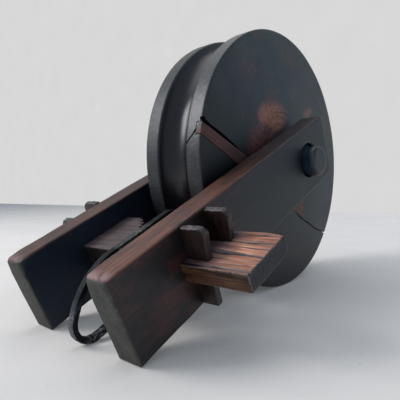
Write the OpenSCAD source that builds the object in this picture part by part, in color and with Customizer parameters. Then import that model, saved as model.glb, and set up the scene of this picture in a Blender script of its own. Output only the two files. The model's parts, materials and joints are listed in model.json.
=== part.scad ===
// Old wooden rope pulley: a grooved wheel on a round axle between two cheek boards.
// A flat tie beam joins the boards near their tails. Its ends pass through them and are
// held outside by two flat pegs each. An iron ring hangs on the beam.
// It stands on the wheel and on the tails of the two boards, so the boards slope.
// +X runs from the tails to the wheel, +Y to the far board and +Z up, all in millimetres.
// The origin is on the ground, under the middle of the object.

/* [Sheave] */
// Diameter of the wheel
sheave_d = 360; // [340:1:380]
// Width of the wheel along the axle
sheave_w = 90; // [76:1:104]
// Width of the rope groove at the rim
groove_w = 46; // [34:1:54]
// Depth of the rope groove
groove_depth = 20; // [12:0.5:24]
// Bevel on the two outer edges of the rim
rim_bevel = 1.5; // [0.5:0.5:3]

/* [Inlaid strip] */
// Distance from the axle's centre to the strip's upper edge
strip_offset = 32; // [30:0.5:40]
// Fall of the strip across the near face, from the horizontal, in degrees
strip_fall = 22.8; // [0:0.1:60]
// Width of the strip at the rim
strip_rim_w = 14; // [8:0.5:18]
// Width of the strip at its inner end
strip_end_w = 26; // [14:0.5:30]
// Distance from the wheel's middle to the strip's inner end, along the strip
strip_reach = 85; // [60:1:100]
// Thickness of the strip
strip_t = 8; // [4:0.5:14]
// Distance between the strip's outer end and the wheel's circle
strip_setback = 3; // [1:0.5:8]
// Width of the open gap above the strip, at the rim
strip_gap_w = 8; // [3:0.5:10]
// Length of the open gap above the strip
strip_gap_len = 80; // [40:1:100]
// Width of the drying crack that runs on from the strip
crack_w = 1.8; // [1:0.1:3]
// Depth of the drying crack
crack_depth = 16; // [8:1:30]

/* [Axle] */
// Diameter of the axle
axle_d = 43; // [36:0.5:50]
// Length of each axle end that stands out of its board
axle_proud = 15.5; // [10:0.5:20]
// Radius of the worn edge of the axle ends
axle_round = 5; // [2:0.5:7]
// Radial clearance of the wheel on the axle
axle_play = 0.08; // [0.03:0.01:0.1]
// Radial clearance of the axle in the boards
axle_seat_play = 0.03; // [0.01:0.01:0.1]

/* [Cheek boards] */
// Length of each board
cheek_len = 411; // [396:1:440]
// Width of each board
cheek_w = 85; // [78:1:94]
// Thickness of each board
cheek_t = 30; // [24:1:36]
// Distance from the axle's centre to the wheel end of the boards
axle_from_end = 58; // [50:1:70]
// Clearance on each side of the wheel, between it and its board
side_play = 11.5; // [6:0.5:16]
// Bevel on all the edges of the boards
cheek_bevel = 1.8; // [0.6:0.2:3]
// Radius of the worn upper corner of the tail
tail_round = 7; // [3:0.5:12]

/* [Tie beam] */
// Distance along the boards between the wheel's circle and the beam
wheel_gap = 33; // [28:1:40]
// Width of the beam along the boards
tie_w = 69; // [62:1:74]
// Height of the beam between the boards
tie_h = 35; // [30:0.5:40]
// Height of the beam's underside over the lower edge of the boards
tie_rise = 25.6; // [22:0.2:30]
// Shoulder of the beam on its tail side
tenon_shoulder = 4; // [2:0.5:6]
// Height of the beam's ends that pass through the boards
tenon_h = 18; // [14:0.5:22]
// Height of the underside of those ends over the lower edge of the boards
tenon_rise = 33.6; // [30:0.2:36]
// Length of each end that stands out of its board
tenon_proud = 73; // [60:1:84]
// Radius of the worn outer corner of those ends, on the wheel side
tenon_round = 6; // [2:0.5:9]
// Bevel on the edges of the beam
tie_bevel = 1.2; // [0.4:0.2:2]
// Clearance round each end in its board
mortise_play = 0.3; // [0.1:0.1:0.6]

/* [Broken edge of the beam] */
// Width of the break, along the boards
break_w = 22; // [10:1:30]
// Length of the break from the near board, on the beam's wheel side
break_long = 89; // [80:1:100]
// Length of the break from the near board, at its tail side
break_short = 68; // [66:1:78]
// Depth of the break
break_depth = 8; // [4:0.5:8.5]
// Number of teeth that the torn grain left
break_teeth = 4; // [2:1:6]
// Length of those teeth
break_tooth = 3; // [1:0.5:3.5]

/* [Pegs] */
// Thickness of each peg along the board
peg_t = 7; // [5:0.5:9]
// Width of each peg at its top
peg_top_w = 28.5; // [24:0.5:32]
// Width of each peg at its tip
peg_tip_w = 18.5; // [12:0.5:21]
// Distance between the middles of the two pegs of one side
peg_spacing = 36; // [28:1:40]
// Height of the peg tips over the lower edge of the boards
peg_tip_rise = 1; // [0:0.5:14]
// Height of the near pegs above the beam's end
near_peg_rise = 31; // [20:0.5:38]
// Height of the far peg on the tail side above the beam's end
far_tail_peg_rise = 31; // [20:0.5:44]
// Height of the far peg on the wheel side above the beam's end
far_wheel_peg_rise = 35.5; // [20:0.5:44]
// Clearance round each peg in its slot
peg_play = 0.2; // [0.1:0.05:0.4]
// Bevel on the ends of the pegs
peg_bevel = 1.6; // [0.5:0.1:2.5]

/* [Iron ring] */
// Width of the ring's bar along the axle
ring_bar_w = 7.5; // [6:0.5:10]
// Thickness of the ring's bar
ring_bar_t = 6.5; // [5:0.5:8]
// Distance that the ring's nose reaches beyond the beam, towards the tails
ring_reach = 79.2; // [75:0.2:88]
// Outer radius of the ring's nose
ring_nose_r = 22.5; // [22:0.5:30]
// Outer radius of the ring's bend between its nose and its upper side
ring_brow_r = 79; // [70:1:84]
// Height of the ring over its outer sides
ring_height = 71.4; // [68:0.2:78]
// Outer radius of the two bends behind the beam
ring_heel_r = 14; // [10:0.5:18]
// Clearance between the ring and the wheel side of the beam
ring_heel_play = 13; // [12:0.5:18]
// Lean of the ring's plane, its lower side towards the far board, in degrees
ring_lean = 4.5; // [0:0.5:12]
// Turn of the ring's plane on the beam, its nose towards the near board, in degrees
ring_turn = 0; // [0:0.5:13]
// Distance of the ring's upper bar from the middle of the beam, towards the near board
ring_aside = 10.8; // [0:0.2:16]
// Gap between the ring and what it rests on
ring_gap = 0.3; // [0.2:0.1:0.6]

/* [Hidden] */
$fn = 96;
EDGE = 1;
sheave_r = sheave_d / 2;
axle_r = axle_d / 2;
// The groove is part of a circle through its two edges and its bottom
groove_r = (groove_w * groove_w / 4 + groove_depth * groove_depth) / (2 * groove_depth);
cheek_gap = sheave_w + 2 * side_play;
inner_y = cheek_gap / 2;
outer_y = inner_y + cheek_t;
axle_from_tail = cheek_len - axle_from_end;
axle_rise = cheek_w / 2;
// The boards slope so that the wheel and their lower tail edges stand on the ground
tilt = asin(sheave_r / norm([axle_from_tail, axle_rise])) - atan2(axle_rise, axle_from_tail);
axle_to_tail_x = axle_from_tail * cos(tilt) - axle_rise * sin(tilt);
// The least X of a board is on the worn corner of its tail
corner_s = tail_round;
corner_t = cheek_w - tail_round;
back_x = axle_to_tail_x - corner_s * cos(tilt) + corner_t * sin(tilt) + tail_round;
axle_x = (back_x - sheave_r) / 2;
tail_x = axle_x - axle_to_tail_x;
axle_z = sheave_r;
tie_top = tie_rise + tie_h;
tie_end = axle_from_tail - sheave_r - wheel_gap;
tie_from_tail = tie_end - tie_w;
tenon_w = tie_w - tenon_shoulder;
tenon_from_tail = tie_from_tail + tenon_shoulder;
tenon_top = tenon_rise + tenon_h;
peg_mid = tenon_from_tail + tenon_w / 2;
// Ring: its upper bar lies on the beam. It leans and turns about the middle of that bar.
ring_lift = ring_gap + sin(ring_lean) * ring_bar_w / 2;
ring_top = tie_top + ring_lift + ring_bar_t;
ring_mid = (tie_from_tail + tie_end) / 2;
nose_s = tie_from_tail - ring_reach + ring_nose_r;
nose_t = ring_top - ring_height + ring_nose_r;
// How fast the leaning ring rises from the ground along its own three directions
rise_along = sin(tilt) * cos(ring_turn);
rise_up = cos(tilt) * cos(ring_lean) + sin(tilt) * sin(ring_lean) * sin(ring_turn);
rise_aside = cos(tilt) * sin(ring_lean) - sin(tilt) * cos(ring_lean) * sin(ring_turn);
nose_floor = ring_gap + ring_nose_r * norm([rise_along, rise_up])
    + abs(rise_aside) * ring_bar_w / 2;
// Where the ground lifts the nose, the ring tips about the edge of the beam's break
tip_s = tie_end - break_w;
nose_back = ring_mid - tip_s + cos(ring_turn) * (nose_s - ring_mid)
    + sin(ring_turn) * sin(ring_lean) * (nose_t - ring_top);
nose_down = ring_top - tie_top + cos(ring_lean) * (nose_t - ring_top);
tip_z = tip_s * sin(tilt) + tie_top * cos(tilt);
ring_slope = atan2(nose_back, nose_down) + acos((nose_floor - tip_z) / norm([nose_back, nose_down]));
ring_tip = max(0, tilt - ring_slope);
// The brow's circle touches the nose's circle from outside it and the upper side
brow_t = ring_top - ring_brow_r;
brow_s = nose_s + sqrt(pow(ring_brow_r - ring_nose_r, 2) - pow(nose_t - brow_t, 2));
brow_angle = atan2(nose_t - brow_t, nose_s - brow_s);
heel_out = tie_end + ring_heel_play + ring_bar_t;
heel_s = heel_out - ring_heel_r;
ring_low = nose_t - ring_nose_r;

// Stands on the ground at the tail's lower edge, with X along a board and Z across it
module on_boards() {
    translate([tail_x, 0, 0]) rotate([0, -tilt, 0]) children();
}

// Stands at the wheel's middle, with Z along the axle towards the far side
module at_axle() {
    translate([axle_x, 0, axle_z]) rotate([-90, 0, 0]) children();
}

// Rectangle with its corners cut off
module cut_rect(w, h, c) {
    polygon([[c, 0], [w - c, 0], [w, c], [w, h - c], [w - c, h], [c, h], [0, h - c], [0, c]]);
}

// Block from the origin with every edge bevelled
module bevelled_block(l, d, h, c) {
    intersection() {
        translate([0, d, 0]) rotate([90, 0, 0]) linear_extrude(d) cut_rect(l, h, c);
        rotate([90, 0, 90]) linear_extrude(l) cut_rect(d, h, c);
        linear_extrude(h) cut_rect(l, d, c);
    }
}

// Wheel and strip

// Outline of the strip on the near face, X along it and Y towards the axle, from a given X
module strip_outline(end) {
    polygon([[end, -strip_offset],
             [end, -strip_offset - strip_rim_w],
             [strip_reach, -strip_offset - strip_end_w],
             [strip_reach, -strip_offset]]);
}

// Stands on the near face, with X down along the strip and Z into the wheel
module on_near_face() {
    translate([axle_x, -sheave_w / 2, axle_z]) rotate([0, strip_fall, 0]) rotate([-90, 0, 0])
        mirror([0, 1, 0]) children();
}

module rim_profile() {
    polygon([[0, 0], [sheave_r - rim_bevel, 0], [sheave_r, rim_bevel],
             [sheave_r, sheave_w - rim_bevel], [sheave_r - rim_bevel, sheave_w], [0, sheave_w]]);
}

module sheave() {
    color([0.17, 0.13, 0.12]) difference() {
        at_axle() translate([0, 0, -sheave_w / 2]) rotate_extrude($fn = 180) rim_profile();
        at_axle() rotate_extrude($fn = 180)
            translate([sheave_r - groove_depth + groove_r, 0]) circle(r = groove_r);
        at_axle() translate([0, 0, -sheave_w / 2 - EDGE])
            cylinder(r = axle_r + axle_play, h = sheave_w + 2 * EDGE);
        on_near_face() translate([0, 0, -EDGE]) linear_extrude(strip_t + EDGE) {
            strip_outline(-sheave_r);
            polygon([[-sheave_r, -strip_offset - EDGE],
                     [-sheave_r, strip_gap_w - strip_offset],
                     [strip_gap_len - sheave_r, -strip_offset],
                     [strip_gap_len - sheave_r, -strip_offset - EDGE]]);
        }
        on_near_face() translate([strip_reach - EDGE, -strip_offset - strip_end_w, -EDGE])
            cube([sheave_r, crack_w, crack_depth + EDGE]);
    }
}

module sheave_strip() {
    strip_start = strip_setback - sqrt(sheave_r * sheave_r - strip_offset * strip_offset);
    color([0.34, 0.24, 0.19]) on_near_face() linear_extrude(strip_t) strip_outline(strip_start);
}

// Axle

module axle() {
    half = outer_y + axle_proud;
    color([0.12, 0.11, 0.12]) at_axle() {
        cylinder(r = axle_r, h = 2 * (half - axle_round), center = true);
        for (side = [0, 1]) mirror([0, 0, side]) translate([0, 0, half - axle_round])
            rotate_extrude() {
                square([axle_r - axle_round, axle_round]);
                translate([axle_r - axle_round, 0]) intersection() {
                    circle(r = axle_round);
                    square(axle_round);
                }
            }
    }
}

// Boards

// Board with its inner face at Y = 0, and its outer face at Y = cheek_t
module cheek() {
    difference() {
        intersection() {
            bevelled_block(cheek_len, cheek_t, cheek_w, cheek_bevel);
            translate([0, cheek_t, 0]) rotate([90, 0, 0]) linear_extrude(cheek_t) {
                square([cheek_len, cheek_w - tail_round]);
                translate([tail_round, 0]) square([cheek_len - tail_round, cheek_w]);
                translate([tail_round, cheek_w - tail_round]) circle(r = tail_round);
            }
        }
        translate([axle_from_tail, -EDGE, axle_rise]) rotate([-90, 0, 0])
            cylinder(r = axle_r + axle_seat_play, h = cheek_t + 2 * EDGE);
        translate([tenon_from_tail - mortise_play, -EDGE, tenon_rise - mortise_play])
            cube([tenon_w + 2 * mortise_play, cheek_t + 2 * EDGE, tenon_h + 2 * mortise_play]);
    }
}

module near_cheek() {
    color([0.2, 0.15, 0.14]) on_boards() mirror([0, 1, 0]) translate([0, inner_y, 0]) cheek();
}

module far_cheek() {
    color([0.2, 0.15, 0.14]) on_boards() translate([0, inner_y, 0]) cheek();
}

// Tie beam

// End of the beam, from inside its shoulder to its outer face
module tenon() {
    reach = tenon_proud + cheek_t + inner_y;
    translate([tenon_from_tail, 0, tenon_rise]) intersection() {
        bevelled_block(tenon_w, reach, tenon_h, tie_bevel);
        translate([0, 0, -EDGE]) linear_extrude(tenon_h + 2 * EDGE) {
            square([tenon_w, reach - tenon_round]);
            square([tenon_w - tenon_round, reach]);
            translate([tenon_w - tenon_round, reach - tenon_round]) circle(r = tenon_round);
        }
    }
}

// Side outline of a peg: X outwards from the board, Y up the board
module peg_outline(play, rise) {
    top = tenon_top + rise;
    slope = (peg_top_w - peg_tip_w) / (tenon_top + near_peg_rise - peg_tip_rise);
    top_w = peg_tip_w + slope * (top - peg_tip_rise);
    polygon([[peg_play - play, peg_tip_rise], [peg_tip_w + play, peg_tip_rise],
             [top_w + play, top], [peg_play - play, top]]);
}

// Stands a peg's outline against the outer face of its board
module at_peg(side, thickness) {
    translate([peg_mid + side * peg_spacing / 2 - thickness / 2, outer_y, 0])
        rotate([90, 0, 90]) linear_extrude(thickness) children();
}

// What has split off the beam's upper edge on the wheel side, from the near board inwards
module broken_edge() {
    tooth_w = break_w / break_teeth;
    step = (break_long - break_short) / (break_teeth - 1);
    torn = [for (i = [0:break_teeth - 1], side = [0, 1])
        [(i + side) * tooth_w, break_short + i * step - side * break_tooth]];
    translate([tie_end - break_w, -inner_y, tie_top - break_depth])
        linear_extrude(break_depth + EDGE)
        polygon(concat([[0, 0]], torn, [[break_w + EDGE, break_long - break_tooth],
                                        [break_w + EDGE, 0]]));
}

module tie_beam() {
    color([0.42, 0.27, 0.2]) on_boards() difference() {
        union() {
            translate([tie_from_tail, -inner_y, tie_rise])
                bevelled_block(tie_w, cheek_gap, tie_h, tie_bevel);
            tenon();
            mirror([0, 1, 0]) tenon();
        }
        for (flip = [0, 1], side = [-1, 1])
            mirror([0, flip, 0]) at_peg(side, peg_t + 2 * peg_play) peg_outline(peg_play, near_peg_rise);
        broken_edge();
    }
}

// Pegs

// A peg's top corners are cut, and its tip is cut off plain
module peg(side, rise) {
    top = tenon_top + rise;
    color([0.23, 0.17, 0.15]) intersection() {
        at_peg(side, peg_t) peg_outline(0, rise);
        translate([0, outer_y, 0]) rotate([90, 0, 0]) translate([0, 0, -peg_top_w - cheek_t])
            linear_extrude(peg_top_w + cheek_t)
            translate([peg_mid + side * peg_spacing / 2 - peg_t / 2, peg_tip_rise])
            cut_rect(peg_t, top - peg_tip_rise, peg_bevel);
    }
}

module near_tail_peg() {
    on_boards() mirror([0, 1, 0]) peg(-1, near_peg_rise);
}

module near_wheel_peg() {
    on_boards() mirror([0, 1, 0]) peg(1, near_peg_rise);
}

module far_tail_peg() {
    on_boards() peg(-1, far_tail_peg_rise);
}

module far_wheel_peg() {
    on_boards() peg(1, far_wheel_peg_rise);
}

// Iron ring

// Points on an arc, each with the angle of its outward normal
function arc(s, t, radius, from, to, steps) =
    [for (i = [0:steps]) let (a = from + (to - from) * i / steps)
        [s + radius * cos(a), t + radius * sin(a), a]];

// The outer side of the ring, once round: nose, brow, and the two bends of the heel.
// The brow begins with the nose's last point, so the nose stops one step before it.
nose_steps = 14;
nose_step = (brow_angle - 270) / nose_steps;
ring_route = concat(
    arc(nose_s, nose_t, ring_nose_r, 270, brow_angle - nose_step, nose_steps - 1),
    arc(brow_s, brow_t, ring_brow_r, brow_angle, 90, 10),
    arc(heel_s, ring_top - ring_heel_r, ring_heel_r, 90, 0, 8),
    arc(heel_s, ring_low + ring_heel_r, ring_heel_r, 0, -90, 8));

// Section of the bar with cut corners: depth below the outer side, and place along the axle
bar_cut = ring_bar_t / 4;
bar_half = ring_bar_w / 2;
bar_section = [[0, bar_cut - bar_half], [0, bar_half - bar_cut],
               [bar_cut, bar_half], [ring_bar_t - bar_cut, bar_half],
               [ring_bar_t, bar_half - bar_cut], [ring_bar_t, bar_cut - bar_half],
               [ring_bar_t - bar_cut, -bar_half], [bar_cut, -bar_half]];

// Flat ring with X along the boards, Z across them and the bar's width along Y
module ring_flat() {
    rings = len(ring_route);
    sides = len(bar_section);
    points = [for (p = ring_route, q = bar_section)
        [p[0] - q[0] * cos(p[2]), q[1], p[1] - q[0] * sin(p[2])]];
    faces = [for (i = [0:rings - 1], j = [0:sides - 1])
        let (a = i * sides + j, b = i * sides + (j + 1) % sides, shift = (i + 1) % rings * sides)
        each [[a, b, shift + (j + 1) % sides], [a, shift + (j + 1) % sides, shift + j]]];
    polyhedron(points, faces, convexity = 4);
}

module hanging_ring() {
    color([0.2, 0.2, 0.21]) on_boards()
        translate([tip_s, 0, tie_top]) rotate([0, ring_tip, 0]) translate([-tip_s, 0, -tie_top])
        translate([ring_mid, -ring_aside, ring_top])
        rotate([0, 0, ring_turn]) rotate([ring_lean, 0, 0])
        translate([-ring_mid, 0, -ring_top]) ring_flat();
}

sheave();
sheave_strip();
axle();
near_cheek();
far_cheek();
tie_beam();
near_tail_peg();
near_wheel_peg();
far_tail_peg();
far_wheel_peg();
hanging_ring();
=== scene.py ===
"""The looks of an old wooden rope pulley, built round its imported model."""
import json
import math

import bmesh
import bpy
import numpy as np
from mathutils import Matrix, Vector, noise


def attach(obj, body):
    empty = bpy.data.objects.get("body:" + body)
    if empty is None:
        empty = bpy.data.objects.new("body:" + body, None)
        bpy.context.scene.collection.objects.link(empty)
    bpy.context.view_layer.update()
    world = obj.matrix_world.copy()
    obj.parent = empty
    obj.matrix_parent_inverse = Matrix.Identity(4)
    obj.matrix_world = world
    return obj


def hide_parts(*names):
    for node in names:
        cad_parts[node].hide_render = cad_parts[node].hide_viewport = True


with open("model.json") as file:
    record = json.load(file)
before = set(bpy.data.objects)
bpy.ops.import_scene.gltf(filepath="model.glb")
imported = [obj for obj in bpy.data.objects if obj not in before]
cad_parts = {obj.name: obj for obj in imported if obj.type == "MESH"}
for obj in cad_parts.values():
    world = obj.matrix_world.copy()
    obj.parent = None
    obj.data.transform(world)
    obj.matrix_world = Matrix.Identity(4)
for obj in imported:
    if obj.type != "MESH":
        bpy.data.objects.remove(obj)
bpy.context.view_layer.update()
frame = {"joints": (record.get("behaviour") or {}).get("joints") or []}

MM = 0.001

# The view: a short lens held low and close to the tails of the boards, with the wheel behind them.
# The pulley stands on a pale concrete floor, some way in front of a pale wall.
camera_azimuth = math.radians(-48.6615)
camera_elevation = math.radians(2.1858)
camera_roll = math.radians(-1.5425)
camera_place = Vector((-0.4361, -0.33794, 0.14853))
lens_length = 36.303
film_width = 36.0


def view_axes(azimuth, elevation, roll):
    """Right, up and back of a camera, as the columns of a matrix."""
    level = math.cos(elevation)
    back = Vector((math.sin(azimuth) * level, -math.cos(azimuth) * level, math.sin(elevation)))
    right = Vector((math.cos(azimuth), math.sin(azimuth), 0))
    up = back.cross(right)
    rolled_right = right * math.cos(roll) + up * math.sin(roll)
    rolled_up = up * math.cos(roll) - right * math.sin(roll)
    return Matrix((rolled_right, rolled_up, back)).transposed()


def add_object(name, data):
    """A new object of the scene."""
    made = bpy.data.objects.new(name, data)
    bpy.context.scene.collection.objects.link(made)
    return made


lens = bpy.data.cameras.new("camera")
lens.lens = lens_length
lens.sensor_width = film_width
lens.clip_start = 0.01
camera = add_object("camera", lens)
camera.matrix_world = (Matrix.Translation(camera_place)
                       @ view_axes(camera_azimuth, camera_elevation, camera_roll).to_4x4())
bpy.context.scene.camera = camera
bpy.context.scene.view_settings.view_transform = "Standard"


class Wire:
    """A node's output in a shader or geometry tree. Arithmetic on it adds maths nodes."""

    def __init__(self, tree, socket=None):
        self.tree = tree
        self.socket = socket

    def node(self, kind, values=None, settings=None, output=0):
        """Adds a node, makes its settings, then fills or links its input sockets."""
        made = self.tree.nodes.new(kind)
        for name, value in (settings or {}).items():
            setattr(made, name, value)
        for key, value in (values or {}).items():
            socket = made.inputs[key]
            if isinstance(value, Wire):
                self.tree.links.new(value.socket, socket)
            elif socket.type in ("VECTOR", "RGBA") and isinstance(value, (int, float)):
                socket.default_value = [value] * len(socket.default_value)
            elif socket.type == "RGBA" and len(value) == 3:
                socket.default_value = (*value, 1)
            else:
                socket.default_value = value
        return Wire(self.tree, made.outputs[output]) if len(made.outputs) else None

    def maths(self, operation, *values):
        """Adds a maths node, or a vector one where a value is a vector or colour."""
        vectors = [v for v in values if isinstance(v, Wire) and v.socket.type in ("VECTOR", "RGBA")]
        kind = "ShaderNodeVectorMath" if vectors else "ShaderNodeMath"
        return self.node(kind, dict(enumerate(values)), {"operation": operation})

    def __add__(self, other):
        return self.maths("ADD", self, other)

    __radd__ = __add__

    def __sub__(self, other):
        return self.maths("SUBTRACT", self, other)

    def __rsub__(self, other):
        return self.maths("SUBTRACT", other, self)

    def __mul__(self, other):
        return self.maths("MULTIPLY", self, other)

    __rmul__ = __mul__

    def __truediv__(self, other):
        return self.maths("DIVIDE", self, other)

    def __rtruediv__(self, other):
        return self.maths("DIVIDE", other, self)

    def __pow__(self, other):
        return self.maths("POWER", self, other)

    def __abs__(self):
        return self.maths("ABSOLUTE", self)

    def most(self, other):
        return self.maths("MAXIMUM", self, other)

    def rise(self, low, high):
        """0 up to low and 1 from high, with a smooth rise between. It falls if high is the less."""
        ends = (0.0, 1.0) if high > low else (1.0, 0.0)
        return self.node("ShaderNodeMapRange", {
            "Value": self, "From Min": min(low, high), "From Max": max(low, high),
            "To Min": ends[0], "To Max": ends[1]}, {"interpolation_type": "SMOOTHSTEP"})

    def past(self, low, high, place=0.0):
        """A rise between two distances past a place, in millimetres."""
        return self.rise(place + low * MM, place + high * MM)

    def hump(self, middle, half_width):
        """1 at the middle, falling to 0 at half a width on either side."""
        return abs(self - middle).rise(half_width, 0)

    def pick(self, low, high):
        """Mixes two colours, with this value as the share of the second."""
        return self.node("ShaderNodeMix", {0: self, 6: low, 7: high},
                         {"data_type": "RGBA", "clamp_factor": True}, 2)

    def shades(self, low, high, dark, light):
        """Mixes two colours by a smooth rise of this value from low to high."""
        return self.rise(low, high).pick(dark, light)

    def parts(self):
        """The three numbers of a vector."""
        split = self.node("ShaderNodeSeparateXYZ", {0: self}).socket.node
        return [Wire(self.tree, socket) for socket in split.outputs]

    def clouds(self, size, detail=2.0, roughness=0.5, stretch=(1, 1, 1), twist=0.0):
        """Noise from 0 to 1 with lumps of a size in millimetres, stretched along the three axes."""
        spread = self * [1 / times for times in stretch]
        return self.node("ShaderNodeTexNoise", {
            "Vector": spread, "Scale": 1 / (size * MM), "Detail": detail,
            "Roughness": roughness, "Distortion": twist})


def start_finish(name, place):
    """A new material, and its coordinates in a place of its own, in metres."""
    material = bpy.data.materials.new(name)
    material.use_nodes = True
    material.node_tree.nodes.clear()
    spot = Wire(material.node_tree).node("ShaderNodeTexCoord", output="Object")
    spot = spot.node("ShaderNodeMapping", {
        "Vector": spot, "Location": place.to_translation(), "Rotation": place.to_euler()},
        {"vector_type": "TEXTURE"})
    return material, spot


def end_finish(colour, roughness, height, depth, constants=None):
    """Closes a material with its varying colour, roughness and relief, and fixed shader values."""
    relief = height.node("ShaderNodeBump", {"Height": height, "Distance": depth})
    surface = relief.node("ShaderNodeBsdfPrincipled", {
        "Base Color": colour, "Roughness": roughness, "Normal": relief, **(constants or {})})
    surface.node("ShaderNodeOutputMaterial", {"Surface": surface})


def stage_plane(name, corners, paleness, tint, painted_light_aside, mottle, pit_share, shown_share):
    """A floor or wall of smooth pale concrete. A share of what the eye sees is its plain paleness."""
    mesh = bpy.data.meshes.new(name)
    mesh.from_pydata(corners, [], [range(len(corners))])
    plane = add_object(name, mesh)
    material, spot = start_finish(name, Matrix.Identity(4))
    patches = spot.clouds(160, 4.0, 0.55)
    pits = spot.clouds(3, 1.0, 0.5, (3.5, 1, 1)).rise(0.64, 0.78) * spot.clouds(50).rise(0.4, 0.6)
    x, y, _ = spot.parts()
    # Painted light: the floor is paler towards the right of the view
    aside = (x * 0.66 - y * 0.75).rise(-0.2, 1.1)
    share = (patches - 0.5) * mottle - pits * pit_share + aside * painted_light_aside + 0.5
    tone = share.pick([paleness * 0.7] * 3, [paleness * 1.3] * 3)
    lit = tone.node("ShaderNodeBsdfDiffuse", {"Color": tone * tint})
    plain = tone.node("ShaderNodeEmission", {"Color": tone})
    rays = [tone.node("ShaderNodeLightPath", output=ray)
            for ray in ("Is Camera Ray", "Is Glossy Ray", "Is Transmission Ray")]
    seen = rays[0].most(rays[1]).most(rays[2]) * shown_share
    mixed = seen.node("ShaderNodeMixShader", {0: seen, 1: lit, 2: plain})
    mixed.node("ShaderNodeOutputMaterial", {"Surface": mixed})
    mesh.materials.append(material)


wall_x = 1.44
wall_from = -0.5
room_side = 7.0
stage_plane("floor", [(-room_side, -room_side, 0), (wall_x, -room_side, 0),
                      (wall_x, room_side, 0), (-room_side, room_side, 0)],
            paleness=0.70, tint=(1.07, 1.0, 0.95), painted_light_aside=0.38, mottle=0.30, pit_share=0.25,
            shown_share=0.1)
stage_plane("wall", [(wall_x, wall_from, 0), (wall_x, wall_from, room_side),
                     (wall_x, room_side, room_side), (wall_x, room_side, 0)],
            paleness=0.685, tint=(1.0, 1.0, 1.0), painted_light_aside=0.0, mottle=0.12, pit_share=0.0,
            shown_share=1.0)


def soft_lamp(name, direction, distance, width, height, power):
    """A soft rectangular lamp that looks at the pulley from a direction."""
    lamp = bpy.data.lights.new(name, "AREA")
    lamp.shape = "RECTANGLE"
    lamp.size = width
    lamp.size_y = height
    lamp.energy = power
    holder = add_object(name, lamp)
    towards = Vector(direction).normalized()
    holder.location = Vector((0.0, 0.0, 0.15)) + towards * distance
    holder.rotation_mode = "QUATERNION"
    holder.rotation_quaternion = towards.to_track_quat("Z", "Y")


soft_lamp("window", (-0.66, 0.62, 0.62), distance=2.2, width=1.1, height=1.0, power=32)
soft_lamp("ceiling", (0.15, 0.25, 1.0), distance=2.4, width=2.4, height=2.0, power=16)
sky = bpy.data.worlds.new("room")
sky.use_nodes = True
sky_light = sky.node_tree.nodes["Background"].inputs
sky_light["Color"].default_value = (0.66, 0.82, 1.0, 1)
sky_light["Strength"].default_value = 0.54
bpy.context.scene.world = sky

# The sheave: a solid wheel turned from one slice of a dark hardwood trunk, its rings on its faces.
# The rope has polished its groove, its rims are scratched, and it has split across the near rim.
joints = {joint["name"]: joint for joint in frame["joints"]}
wheel_centre = Vector(joints["wheel_spin"]["pos_m"])
sheave_r = 180 * MM
sheave_half = 45 * MM
bore_r = 21.58 * MM
groove_half = 23 * MM
groove_depth = 20 * MM
groove_steps = 16
rim_round = 2.0 * MM
lip_round = 3.0 * MM
turning_step = 5 * MM
corner_steps = 4


def spread_points(start, end, step):
    """Points from one to the other, without the last, no further apart than the step."""
    start, end = np.array(start, float), np.array(end, float)
    count = max(1, math.ceil(np.linalg.norm(end - start) / step))
    return [start + (end - start) * i / count for i in range(count)]


def rounded_outline(corners, radii, step, closed=True):
    """Outline with each corner rounded by its radius, and its long sides divided."""
    made = []
    count = len(corners)
    for i, (corner, radius) in enumerate(zip(corners, radii)):
        corner = np.array(corner, float)
        if not radius:
            made.append(corner)
            continue
        before = np.array(corners[i - 1], float) - corner
        after = np.array(corners[(i + 1) % count], float) - corner
        before /= np.linalg.norm(before)
        after /= np.linalg.norm(after)
        half = math.acos(float(np.clip(before @ after, -1, 1))) / 2
        middle = corner + (before + after) / np.linalg.norm(before + after) * radius / math.sin(half)
        first = corner + before * radius / math.tan(half) - middle
        last = corner + after * radius / math.tan(half) - middle
        turn = math.atan2(first[0] * last[1] - first[1] * last[0], first @ last)
        for k in range(corner_steps + 1):
            a = turn * k / corner_steps
            made.append(middle + [first[0] * math.cos(a) - first[1] * math.sin(a),
                                  first[0] * math.sin(a) + first[1] * math.cos(a)])
    full = []
    for i in range(len(made) if closed else len(made) - 1):
        full += spread_points(made[i], made[(i + 1) % len(made)], step)
    return full if closed else full + [made[-1]]


def open_tree(name, sockets, result):
    """An empty geometry tree with named inputs and one output. Returns it and its inputs."""
    tree = bpy.data.node_groups.new(name, "GeometryNodeTree")
    for label, kind in sockets.items():
        tree.interface.new_socket(label, in_out="INPUT", socket_type="NodeSocket" + kind)
    tree.interface.new_socket(result, in_out="OUTPUT", socket_type="NodeSocketGeometry")
    given = tree.nodes.new("NodeGroupInput")
    return tree, {label: Wire(tree, given.outputs[label]) for label in sockets}


def close_tree(shape, waver, waver_size, finish):
    """Moves a shape's surface by slow noise, gives it its material and ends its tree."""
    lumps = shape.node("ShaderNodeTexNoise", {
        "Vector": shape.node("GeometryNodeInputPosition"), "Scale": 1.0 / waver_size, "Detail": 1.5})
    offset = shape.node("GeometryNodeInputNormal") * ((lumps - 0.5) * waver)
    wavered = shape.node("GeometryNodeSetPosition", {"Geometry": shape, "Offset": offset})
    real = shape.node("GeometryNodeRealizeInstances", {"Geometry": wavered})
    finished = shape.node("GeometryNodeSetMaterial", {"Geometry": real, "Material": finish})
    shape.tree.links.new(finished.socket, shape.tree.nodes.new("NodeGroupOutput").inputs[0])


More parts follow.
